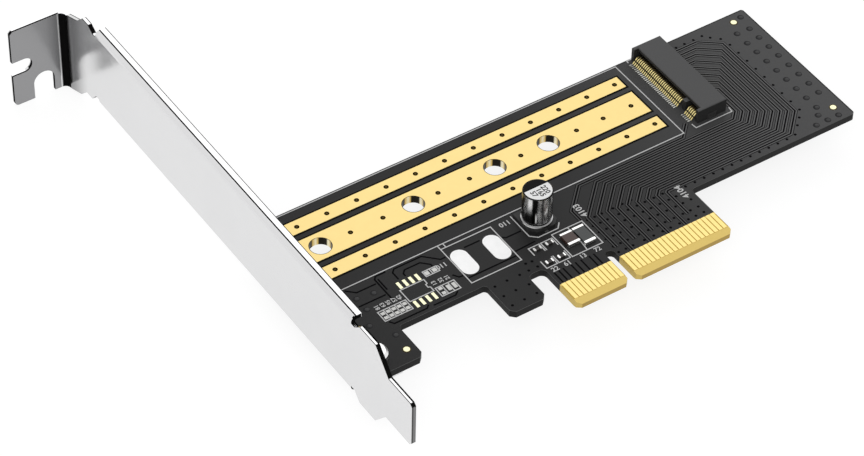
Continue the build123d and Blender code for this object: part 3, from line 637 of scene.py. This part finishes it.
def slot_finishes():
    """A material for each of the record's slots."""
    return {
        "board": board_finish(),
        "board_traces": trace_finish(),
        "gold_contacts": gold_finish("contact_gold", (0.69, 0.54, 0.20), (0.77, 0.61, 0.24), 0.3),
        "gold_strips": gold_finish("strip_gold", (0.71, 0.545, 0.225), (0.76, 0.60, 0.26), 0.42),
        "socket_plastic": socket_finish(),
        "capacitor_foot": plastic_finish("foot_plastic", grey(0.010), 0.4, specular=0.3),
        "capacitor_can": can_finish(),
        "tin_terminals": metal_finish("terminal_tin", (0.88, 0.88, 0.86), 0.25),
        "dark_ceramic": plastic_finish("dark_ceramic", (0.014, 0.018, 0.018), 0.12),
        "brown_ceramic": plastic_finish("brown_ceramic", (0.035, 0.016, 0.012), 0.35),
        "pale_lands": gold_finish("pale_land", (0.76, 0.75, 0.50), (0.82, 0.80, 0.58), 0.4),
        "tinned_lands": gold_finish("tinned_land", grey(0.78), grey(0.98), 0.5, 0.5),
        "bracket_sheet": bracket_finish(),
        "screw_metal": metal_finish("screw_nickel", grey(0.90), 0.25),
    }


def node_finishes():
    """Nodes whose finish differs from the rest of their slot."""
    dull_tin, pale_tin = (0.46, 0.46, 0.45), (0.66, 0.66, 0.64)
    chip = plastic_finish("chip_ceramic", (0.016, 0.013, 0.012), 0.4)
    own = {f"small_chip_body_{i}": chip for i in range(1, 5)}
    return own | {
        "standoff_hole_plating": hole_wall_finish(),
        "socket_contacts_lower": spring_finish(),
        "socket_nails": metal_finish("nail_steel", grey(0.12), 0.4),
        "capacitor_leads": metal_finish("lead_tin", grey(0.20), 0.4),
        "fiducial_discs": fiducial_finish(),
        "spare_chip_pads": gold_finish("spare_land", dull_tin, pale_tin, 0.5, 0.6),
    }


def dress_nodes():
    """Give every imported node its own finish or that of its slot."""
    by_slot, by_node = slot_finishes(), node_finishes()
    for entry in frame["record"]["subparts"]:
        finish = by_node.get(entry["node"], by_slot[entry["material_slot"]])
        node = frame["nodes"][entry["node"]]
        node.data.materials.clear()
        node.data.materials.append(finish)


def add_piece(name, points, faces, finish, smooth=False):
    """A mesh from points in millimetres and faces, finished and fixed to the card."""
    mesh = bpy.data.meshes.new(name)
    mesh.from_pydata((np.asarray(points) * MM).tolist(), [], faces)
    mesh.validate()
    mesh.polygons.foreach_set("use_smooth", [smooth] * len(mesh.polygons))
    mesh.materials.append(finish)
    piece = bpy.data.objects.new(name, mesh)
    bpy.context.scene.collection.objects.link(piece)
    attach(piece, "root")


def joined(parts):
    """Several (points, faces) pairs as one pair."""
    points, faces, count = [], [], 0
    for part_points, part_faces in parts:
        points.append(part_points)
        faces += [tuple(index + count for index in face) for face in part_faces]
        count += len(part_points)
    return np.concatenate(points), faces


def ribbon(path, width, low_z, high_z, closed=False):
    """A flat line: at each point the path's mitre direction times half the width, both ways.

    The mitre is the mean of the normals of the two runs that meet, divided by the cosine of
    half the turn, so that both runs keep their width.
    """
    path = np.asarray(path, dtype=float)
    runs = np.roll(path, -1, axis=0) - path
    if not closed:
        runs[-1] = runs[-2]
    runs /= np.linalg.norm(runs, axis=1)[:, None]
    normals = np.stack([-runs[:, 1], runs[:, 0]], axis=1)
    before = np.roll(normals, 1, axis=0)
    if not closed:
        before[0] = normals[0]
        normals[-1] = before[-1]
    mitre = before + normals
    mitre /= np.linalg.norm(mitre, axis=1)[:, None]
    mitre *= (width / 2 / np.sum(mitre * normals, axis=1))[:, None]
    left, right = path + mitre, path - mitre
    count = len(path)
    rows = [
        np.column_stack([side, np.full(count, z)])
        for side, z in ((left, low_z), (right, low_z), (right, high_z), (left, high_z))
    ]
    points = np.stack(rows, axis=1).reshape(-1, 3)
    spans = count if closed else count - 1
    faces = []
    for i in range(spans):
        a, b = 4 * i, 4 * ((i + 1) % count)
        faces += [(a + j, a + (j + 1) % 4, b + (j + 1) % 4, b + j) for j in range(4)]
    if not closed:
        last = 4 * (count - 1)
        faces += [(3, 2, 1, 0), (last, last + 1, last + 2, last + 3)]
    return points, faces


def turned(profile, sides):
    """A closed turned shape: radius r(k) and height z(k) carried round a circle of equal steps.

    The first and last radius are 0 and become one pole each.
    """
    profile = np.asarray(profile, dtype=float)
    angle = np.arange(sides) * 2 * math.pi / sides
    radii, heights = profile[1:-1, 0], profile[1:-1, 1]
    ring_x = np.outer(radii, np.cos(angle))
    ring_y = np.outer(radii, np.sin(angle))
    ring_z = np.repeat(heights[:, None], sides, axis=1)
    grid = np.stack([ring_x, ring_y, ring_z], axis=-1).reshape(-1, 3)
    points = np.concatenate([[[0, 0, profile[0, 1]]], grid, [[0, 0, profile[-1, 1]]]])
    rings, top = len(radii), len(points) - 1
    faces = [(0, 1 + (j + 1) % sides, 1 + j) for j in range(sides)]
    for i in range(rings - 1):
        a, b = 1 + i * sides, 1 + (i + 1) * sides
        faces += [(a + j, a + (j + 1) % sides, b + (j + 1) % sides, b + j) for j in range(sides)]
    a = 1 + (rings - 1) * sides
    faces += [(a + j, a + (j + 1) % sides, top) for j in range(sides)]
    return points, faces


def scattered(shape, places):
    """Copies of one (points, faces) shape at flat places, worked out as one array."""
    points, faces = shape
    places = np.asarray(places, dtype=float)
    shifts = np.column_stack([places, np.zeros(len(places))])
    cloud = (points[None, :, :] + shifts[:, None, :]).reshape(-1, 3)
    copies = [
        tuple(index + i * len(points) for index in face)
        for i in range(len(places)) for face in faces
    ]
    return cloud, copies


def rectangle_path(left, right, low, high):
    """The four corners of an upright rectangle, against the clock."""
    return [(left, low), (right, low), (right, high), (left, high)]


def chip_brackets():
    """Open brackets of ink over and under the small chips, in two columns."""
    paths = []
    for left, right in ((-11.78, -9.45), (-9.1, -6.62)):
        paths.append([(left, 14.3), (left, 16.3), (right, 16.3), (right, 14.3)])
        paths.append([(left, 12.5), (left, 10.45), (right, 10.45), (right, 12.5)])
    return paths


def row_dividers():
    """Upright lines between the five pairs of small lands beside the bracket."""
    first_x, pitch, low_y, high_y = -43.3, 1.17, 15.05, 17.6
    return [[(first_x + i * pitch, low_y), (first_x + i * pitch, high_y)] for i in range(1, 5)]


def printed_lines():
    """White lines of ink round the drive, the socket and each place for a chip.

    Each line's top is a step higher than the last, so that lines which cross share no face.
    """
    closed = [
        rectangle_path(-25.16, -14.35, 14.7, 24.7),
        rectangle_path(-6.2, 0.5, 10.4, 17.0),
        rectangle_path(-43.3, -37.45, 15.05, 17.6),
        rectangle_path(-31.1, -28.2, 20.4, 21.75),
        rectangle_path(-31.4, -27.45, 14.75, 17.1),
    ]
    opened = [
        [(-45.6, 47.66), (30.03, 47.66), (30.03, 25.8), (-45.6, 25.8)],
        [(-25.16, 25.8), (-25.16, 24.8)],
        [(-24.0, 25.8), (-24.0, 24.8)],
        [(32.72, 26.99), (32.83, 25.74), (41.17, 25.74), (41.33, 26.96)],
        [(32.75, 47.2), (32.75, 47.8), (34.2, 47.8)],
        [(-9.78, 25.0), (-9.79, 18.9), (-8.55, 17.77), (-4.22, 17.77), (-3.2, 18.9)],
        [(-2.7, 17.0), (-2.7, 13.06), (-2.94, 10.4)],
        [(-37.0, 16.75), (-37.0, 20.05), (-31.9, 20.05), (-31.9, 18.9)],
        [(-31.9, 17.9), (-31.9, 16.75), (-37.0, 16.75)],
        [(-31.9, 18.9), (-32.3, 18.8), (-32.3, 18.0), (-31.9, 17.9)],
        [(-29.65, 20.4), (-29.65, 21.75)],
        [(-30.05, 14.75), (-30.05, 17.1)],
        [(-28.75, 14.75), (-28.75, 17.1)],
    ]
    opened += chip_brackets() + row_dividers()
    lines = [(path, True) for path in closed] + [(path, False) for path in opened]
    return joined([
        ribbon(path, INK_WIDTH, INK_LOW_Z, INK_HIGH_Z + INK_STEP * i, closed=whole)
        for i, (path, whole) in enumerate(lines)
    ])


def digits(text, x, y, size, turn, low_z=INK_LOW_Z):
    """Plain numerals as a mesh, laid flat with their middle at a place on the board."""
    curve = bpy.data.curves.new("numerals", "FONT")
    curve.body = text
    curve.size = size
    curve.align_x = "CENTER"
    curve.align_y = "CENTER"
    curve.extrude = INK_THICKNESS / 2
    curve.resolution_u = 2
    curve.offset = INK_SPREAD * size
    holder = bpy.data.objects.new("numerals", curve)
    mesh = bpy.data.meshes.new_from_object(holder)
    points = np.empty(len(mesh.vertices) * 3)
    mesh.vertices.foreach_get("co", points)
    points = points.reshape(-1, 3)
    faces = [tuple(face.vertices) for face in mesh.polygons]
    cos, sin = math.cos(math.radians(turn)), math.sin(math.radians(turn))
    flat = np.column_stack([
        x + points[:, 0] * cos - points[:, 1] * sin,
        y + points[:, 0] * sin + points[:, 1] * cos,
        points[:, 2] + low_z + INK_THICKNESS / 2,
    ])
    bpy.data.objects.remove(holder)
    bpy.data.curves.remove(curve)
    bpy.data.meshes.remove(mesh)
    return flat, faces


def printed_numbers():
    """Small numerals beside the places for chips: text, place, size and turn of each."""
    marks = [
        ("011", -27.3, 21.15, 1.5, 0), ("011", -11.7, 23.9, 1.55, 0),
        ("22", -10.6, 9.5, 1.5, 0), ("61", -7.9, 9.5, 1.5, 0),
        ("13", -4.5, 9.5, 1.4, 0), ("72", -1.3, 9.5, 1.4, 0),
        ("4103", 1.9, 19.4, 1.8, 90), ("4104", 20.4, 13.3, 1.8, 90),
        ("81", -42.7, 18.7, 1.2, 90), ("63", -41.5, 18.7, 1.2, 90), ("95", -40.3, 18.7, 1.2, 90),
        ("57", -39.1, 18.7, 1.2, 90), ("42", -38.0, 18.7, 1.2, 90),
        ("13", -30.8, 18.3, 1.2, 90), ("32", -29.4, 18.3, 1.2, 90), ("21", -28.1, 18.3, 1.2, 90),
    ]
    return joined([digits(*mark) for mark in marks])


def small_holes():
    """Places of the small lacquered holes along the bundle and on the middle tab."""
    under_bundle = [
        (x, y)
        for y in (16.65, 14.85, 12.95, 10.85, 8.6, 6.9)
        for x in (1.5, 3.1, 4.7, 7.2, 9.3, 11.3, 13.1, 15.1, 17.1, 18.8, 20.6)
    ]
    beside_bundle = [(52.2, 41.0 - 2.71 * i) for i in range(9)]
    beside_bundle += [(50.8, 17.6), (49.2, 16.1), (47.3, 14.3)]
    beside_bundle += [(45.2 - 2.13 * i, 14.1) for i in range(12)]
    beside_bundle += [
        (43.0, 45.9), (45.0, 45.9), (47.1, 45.9), (49.17, 45.92), (50.24, 44.69), (51.71, 43.31)
    ]
    on_tab = [
        (-22.17, 11.75), (-19.51, 11.83), (-16.79, 11.78), (-14.28, 13.53), (-12.99, 13.40),
        (-14.8, 11.8), (-12.87, 11.78), (-16.72, 8.93), (-16.79, 6.39), (-19.53, 9.01),
        (-22.17, 8.93), (-19.54, 6.29), (-22.18, 6.22),
    ]
    return under_bundle + beside_bundle + on_tab


def ringed_holes():
    """Places of the larger holes with a raised ring."""
    inner = [(55.25, y) for y in (42.8, 39.6, 36.6, 33.5, 30.4, 27.35, 24.3, 21.2, 18.1)]
    outer = [(58.15, y) for y in (42.7, 39.7, 36.6, 33.6, 30.4, 27.3, 24.2, 21.2)]
    corner = [(54.15, 16.2), (52.2, 14.2), (54.9, 14.2), (57.45, 14.2), (58.7, 46.3)]
    left = [(-44.59, 22.56), (-44.48, 19.37), (-46.29, 15.73), (-43.57, 11.40), (-41.21, 22.16)]
    return inner + outer + corner + left


def buried_tracks():
    """Copper under the lacquer: round the controller and the inductor, and at the contacts."""
    paths = [
        [(-45.3, 25.3), (-43.7, 23.8), (-39.6, 23.8)],
        [(-45.3, 20.6), (-39.6, 20.6)],
        [(-39.25, 18.4), (-39.25, 24.8), (-38.7, 25.4), (-36.6, 25.4)],
        [(-38.7, 21.5), (-38.7, 24.6)],
        [(-35.6, 22.6), (-35.6, 24.5), (-34.9, 25.2), (-29.0, 25.2), (-26.5, 22.7), (-25.4, 22.7)],
        [(-34.1, 22.6), (-34.1, 23.3), (-33.4, 24.0), (-30.1, 24.0), (-28.7, 22.6), (-28.7, 22.0)],
        [(-21.3, 22.9), (-17.9, 22.9)],
        [(-24.9, 16.1), (-14.6, 16.1)],
        [(-14.1, 21.4), (-13.5, 20.9), (-10.2, 20.9)],
        [(-14.1, 17.1), (-10.2, 17.3), (-9.6, 17.3)],
        [(-42.8, 14.7), (-42.2, 13.8), (-35.3, 13.8), (-34.6, 14.4)],
        [(-33.9, 13.8), (-29.2, 13.8), (-28.4, 14.4)],
        [(-26.9, 18.3), (-26.2, 17.2), (-25.4, 17.1)],
    ]
    paths += [[(x, 6.1), (x, 9.0)] for x in (-11.3, -10.3, -9.3, -7.6, -6.6, -5.4, -3.6, -2.6)]
    return joined([ribbon(path, TRACK_WIDTH, 0.0, TRACK_TOP_Z) for path in paths])


def bundle_paths():
    """Middle lines of the spare pair, and of the trace pairs from the outside inwards.

    A pair leaves the socket's rear, comes down on its right, turns back along the card at 45
    degrees and comes down once more to the edge contacts. Each second pair reaches the gold, and
    the others end short of it. A place is that of the first pair and a step for each pair after.
    """
    bend_width, bend_drop, least_run, short_end_y = 3.95, 3.05, 0.5, 8.1
    paths = [[(31.9, 27.75), (29.1, 24.95), (5.4, 24.95), (0.5, 20.05), (0.5, 17.2)]]
    for i in range(PAIR_COUNT):
        start_y, low_y = 45.1 - 1.4 * i, 14.95 + 1.12 * i
        right_x, turn_y = 51.25 - 1.19 * i, 19.5 + 0.75 * i
        left_x, end_x = 18.3 - 1.2 * i, FIRST_CONTACT_X + (16.5 - 2 * i) * CONTACT_PITCH
        path = [
            (right_x, start_y - bend_drop), (right_x, turn_y),
            (right_x - turn_y + low_y, low_y), (left_x, low_y),
            (end_x, low_y - left_x + end_x), (end_x, GOLD_TOP_Y if i % 2 else short_end_y),
        ]
        bend_x = right_x - bend_width
        if bend_x > SOCKET_REAR_X + least_run:
            path = [(SOCKET_REAR_X, start_y), (bend_x, start_y)] + path
        elif right_x > SOCKET_REAR_X + least_run:
            drop = (SOCKET_REAR_X - bend_x) * bend_drop / bend_width
            path = [(SOCKET_REAR_X, start_y - drop)] + path
        paths.append(path)
    return paths


def strip_vias():
    """Places of the vias in the three heat strips."""
    side_x = [SIDE_VIA_FIRST_X + SIDE_VIA_PITCH * i for i in range(SIDE_VIA_COUNT)]
    places = [(x, y) for y in SIDE_STRIPS_Y for x in side_x]
    return places + [(x, MIDDLE_STRIP_Y) for x in MIDDLE_VIAS_X]


def add_turned(name, profile, sides, places, finish, smooth=False):
    """One piece of small turned shapes at many places."""
    add_piece(name, *scattered(turned(profile, sides), places), finish, smooth)


def dress_board():
    """Everything thin that lies on the lacquer."""
    ink = plastic_finish("printed_ink", grey(0.54), 0.6, 5.0, 0.05, 0.2)
    add_piece("printed_lines", *printed_lines(), ink)
    add_piece("printed_numbers", *printed_numbers(), ink)

    dark = plastic_finish("dark_lacquer_and_painted_shadow", (0.003, 0.003, 0.0035), 0.6, specular=0.0)
    add_turned("small_lacquered_holes", SMALL_HOLE, 12, small_holes(), dark, True)
    ring_finish = plastic_finish("ring_lacquer", (0.014, 0.014, 0.015), 0.5, specular=0.1)
    cap_finish = plastic_finish("cap_lacquer", (0.038, 0.038, 0.039), 0.5, specular=0.2)
    places = np.array(ringed_holes())
    add_turned("ringed_holes", HOLE_RING, 20, places, ring_finish)
    # The caps sit off the rings' middle, so that the dark ring shows as a crescent of painted
    # shade on one side.
    add_turned("ringed_hole_caps", HOLE_CAP, 20, places + HOLE_CAP_SHADE_SHIFT, cap_finish, True)
    add_piece("buried_tracks", *buried_tracks(), dark)
    # Painted shadow: a near black sheet under each trace pair, wider than the pair, for the
    # traces' shadows.
    pair_shadows = [ribbon(path, PAIR_SHADOW_WIDTH, 0.0, PAIR_SHADOW_THICKNESS) for path in bundle_paths()]
    add_piece("trace_pair_shadows", *joined(pair_shadows), dark)

    bare = plastic_finish("bare_laminate", (0.060, 0.042, 0.014), 0.6, specular=0.1)
    add_turned("fiducial_rings", FIDUCIAL_RING, 24, FIDUCIALS, bare)

    brown = plastic_finish("filled_hole", (0.014, 0.009, 0.002), 0.8, specular=0.0)
    pale = plastic_finish("filled_hole_middle", (0.09, 0.06, 0.010), 0.6, specular=0.1)
    add_turned("strip_hole_fill", VIA_FILL, 16, strip_vias(), brown, True)
    add_turned("strip_hole_beads", VIA_BEAD, 12, strip_vias(), pale, True)


def segment(middle, radius, chord, low_z, high_z):
    """A flat plate cut off a disc on its far side.

    Its edge is radius times the cosine and the sine of an angle, in equal steps over the arc
    above the chord, which lies at a share of the radius from the middle.
    """
    reach = math.acos(chord)
    angle = np.linspace(math.pi / 2 - reach, math.pi / 2 + reach, 25)
    edge = np.column_stack([np.cos(angle), np.sin(angle)]) * radius + middle
    low = np.column_stack([edge, np.full(len(edge), low_z)])
    high = np.column_stack([edge, np.full(len(edge), high_z)])
    count = len(edge)
    faces = [tuple(reversed(range(count))), tuple(range(count, 2 * count))]
    faces += [(i, (i + 1) % count, (i + 1) % count + count, i + count) for i in range(count)]
    return np.concatenate([low, high]), faces


def capacitor_print():
    """The printed lid of the can: a white disc with a dark segment on its far side."""
    white = plastic_finish("lid_white", grey(0.95), 0.5, 4.0, 0.03, 0.3)
    black = plastic_finish("lid_black", grey(0.005), 0.5, 4.0, 0.03, 0.05)
    top = CAN_TOP_Z + LID_PRINT_THICKNESS
    disc = [(0, CAN_TOP_Z), (LID_PRINT_RADIUS, CAN_TOP_Z), (LID_PRINT_RADIUS, top), (0, top)]
    add_turned("capacitor_lid_print", disc, 48, [CAN_PLACE], white)
    low_z = CAN_TOP_Z + POLARITY_LOW
    mark = segment(
        CAN_PLACE, LID_PRINT_RADIUS + SLACK, POLARITY_CHORD, low_z, low_z + INK_THICKNESS
    )
    add_piece("capacitor_polarity_mark", *mark, black)
    x, y = CAN_PLACE
    size, turn, low_z = 1.45, -90, CAN_TOP_Z + LID_NUMBER_LOW
    rows = [("220", x + 1.15, y - 0.7), ("165", x - 0.05, y - 0.9), ("57", x - 1.3, y - 0.6)]
    numbers = [digits(*row, size, turn, low_z) for row in rows]
    add_piece("capacitor_numbers", *joined(numbers), black)


def seen_directly(sheet):
    """1 for a ray from the camera, off a glossy surface or through glass, and 0 for others."""
    seen = sheet.node("ShaderNodeLightPath", output="Is Camera Ray")
    for name in ("Is Glossy Ray", "Is Transmission Ray"):
        seen = sheet.maths("MAXIMUM", seen, sheet.node("ShaderNodeLightPath", output=name))
    return seen


def light_world():
    """White for the camera and in reflections, and a plain level for the light itself."""
    world = bpy.data.worlds.new("studio")
    world.use_nodes = True
    bpy.context.scene.world = world
    sheet = Sheet(world.node_tree)
    background = sheet.tree.nodes["Background"]
    strength = WORLD_LEVEL + seen_directly(sheet) * (1.0 - WORLD_LEVEL)
    sheet.join(background.inputs["Color"], WHITE)
    sheet.join(background.inputs["Strength"], strength)


def soft_lamp(name, place, aim, size, power):
    """A square area lamp, in millimetres, turned to its aim."""
    data = bpy.data.lights.new(name, "AREA")
    data.shape = "SQUARE"
    data.size = size * MM
    data.energy = power
    lamp = bpy.data.objects.new(name, data)
    bpy.context.scene.collection.objects.link(lamp)
    lamp.location = Vector(place) * MM
    lamp.rotation_euler = (Vector(aim) - Vector(place)).to_track_quat("-Z", "Y").to_euler()


def floor_finish():
    """Pale floor that looks white and still takes the card's shadow."""
    f = Finish("pale_floor")
    seen = seen_directly(f)
    f.set(
        Base_Color=f.blend(seen, grey(0.80), grey(0.22)),
        Emission_Color=f.blend(seen, grey(0.0), grey(FLOOR_WHITE)),
        Emission_Strength=1.0,
        Roughness=0.9,
        Specular_IOR_Level=0.0,
    )
    return f.material


def lay_floor():
    """A flat square just under the card, in metres."""
    low_z = cad_box[0][2] - FLOOR_DROP
    outline = rectangle_path(-FLOOR_HALF, FLOOR_HALF, -FLOOR_HALF, FLOOR_HALF)
    corners = [(x, y, low_z) for x, y in outline]
    mesh = bpy.data.meshes.new("floor")
    mesh.from_pydata(corners, [], [(0, 1, 2, 3)])
    mesh.materials.append(floor_finish())
    floor = bpy.data.objects.new("floor", mesh)
    bpy.context.scene.collection.objects.link(floor)


def build_studio():
    """White world, pale floor, a large soft lamp behind and a smaller one in front."""
    light_world()
    lay_floor()
    soft_lamp("rear_softbox", (370, 560, 640), (0, 30, 0), 900, 1.5)
    soft_lamp("front_softbox", (-420, -420, 640), (0, 30, 0), 500, 2.0)


def place_camera():
    """Camera at the photograph's angle; its axes follow azimuth, elevation and roll."""
    azimuth, elevation, roll = (math.radians(a) for a in (AZIMUTH, ELEVATION, ROLL))
    right = Vector((math.cos(azimuth), math.sin(azimuth), 0.0))
    up = Vector((
        -math.sin(azimuth) * math.sin(elevation),
        math.cos(azimuth) * math.sin(elevation),
        math.cos(elevation),
    ))
    back = right.cross(up)
    turned_right = math.cos(roll) * right + math.sin(roll) * up
    turned_up = math.cos(roll) * up - math.sin(roll) * right
    place = back * DISTANCE - turned_right * AIM_RIGHT - turned_up * AIM_UP + Vector((0, AIM_Y, 0))
    data = bpy.data.cameras.new("camera")
    data.sensor_width = SENSOR_WIDTH
    data.lens = SENSOR_WIDTH * FOCAL_PIXELS / PHOTO_WIDTH
    data.clip_start = NEAREST_SEEN
    camera = bpy.data.objects.new("camera", data)
    bpy.context.scene.collection.objects.link(camera)
    axes = Matrix((turned_right, turned_up, back)).transposed().to_4x4()
    camera.matrix_world = Matrix.Translation(place * MM) @ axes
    bpy.context.scene.camera = camera


dress_nodes()
dress_board()
capacitor_print()
build_studio()
place_camera()
bpy.context.scene.view_settings.view_transform = "Standard"
